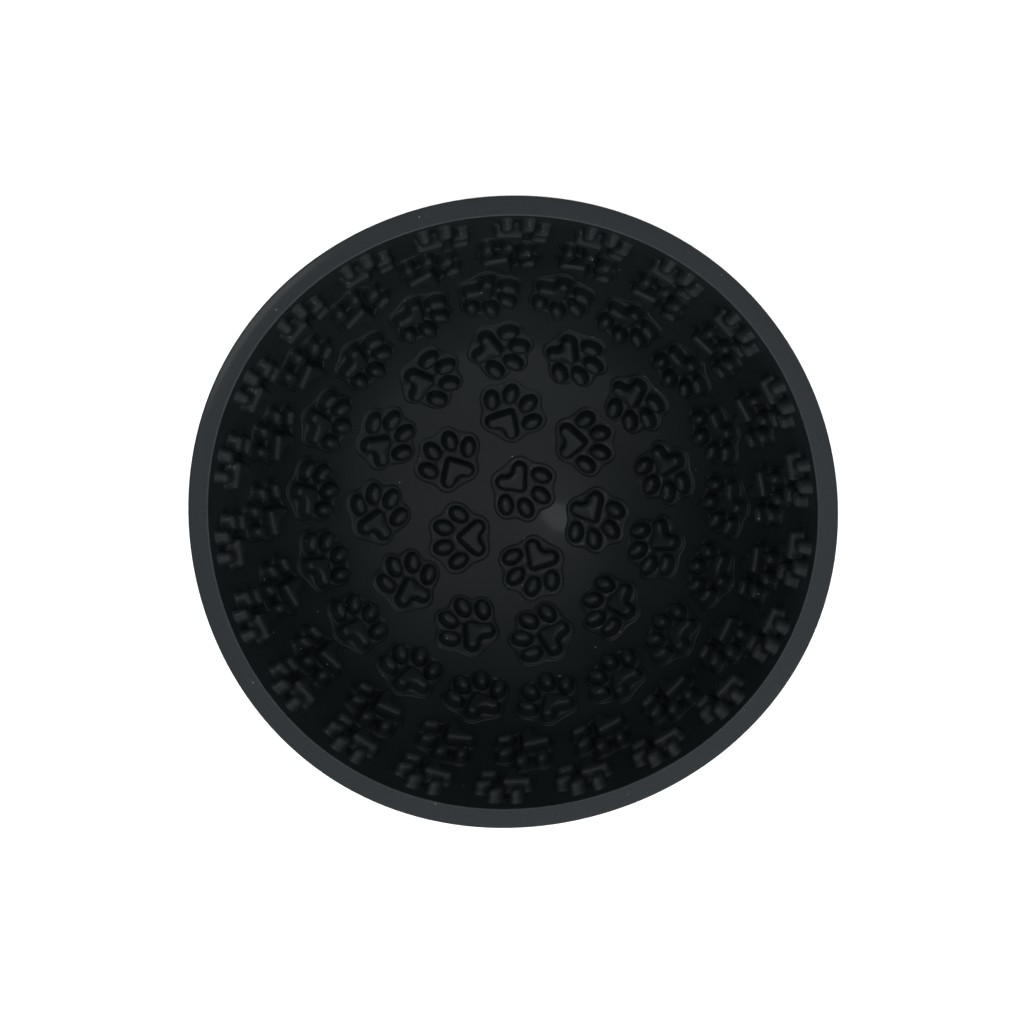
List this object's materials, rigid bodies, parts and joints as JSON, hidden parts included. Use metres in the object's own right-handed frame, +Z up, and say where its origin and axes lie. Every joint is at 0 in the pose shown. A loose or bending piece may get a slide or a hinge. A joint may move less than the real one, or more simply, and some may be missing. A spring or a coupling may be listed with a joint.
{
  "type": "wobble slow feeder bowl",
  "caption": "Round-bottomed weighted pet feeder bowl that rocks, with a lift-out soft lick bowl covered in raised paw prints.",
  "frame": {"origin": "centre of the flat on the underside of the tread pad, on the bowl's axis", "axes": "+Z up along the bowl's axis through the mouth, +X and +Y level; +Y is towards the top of the picture"},
  "size_m": [0.165, 0.165, 0.08],
  "materials": {
    "lick_bowl": "satin black",
    "rocker_shell": "matte black",
    "rim_gasket": "matte",
    "tread_pad": "matte",
    "ballast_disc": "as cast",
    "ballast_cover": "matte",
    "cover_screw": "bright"
  },
  "bodies": {
    "shell": {"rocker_shell": "rocker_shell", "rim_gasket": "rim_gasket", "tread_pad": "tread_pad", "ballast_disc": "ballast_disc", "ballast_cover": "ballast_cover", "cover_screw_1": "cover_screw", "cover_screw_2": "cover_screw", "cover_screw_3": "cover_screw", "cover_screw_4": "cover_screw"},
    "lick_bowl": {"lick_bowl": "lick_bowl"}
  },
  "joints": [
    {"name": "lick_bowl_lift", "type": "slide", "parent": "shell", "child": "lick_bowl", "axis": [0, 0, 1], "range_m": [0, 0.085]}
  ]
}
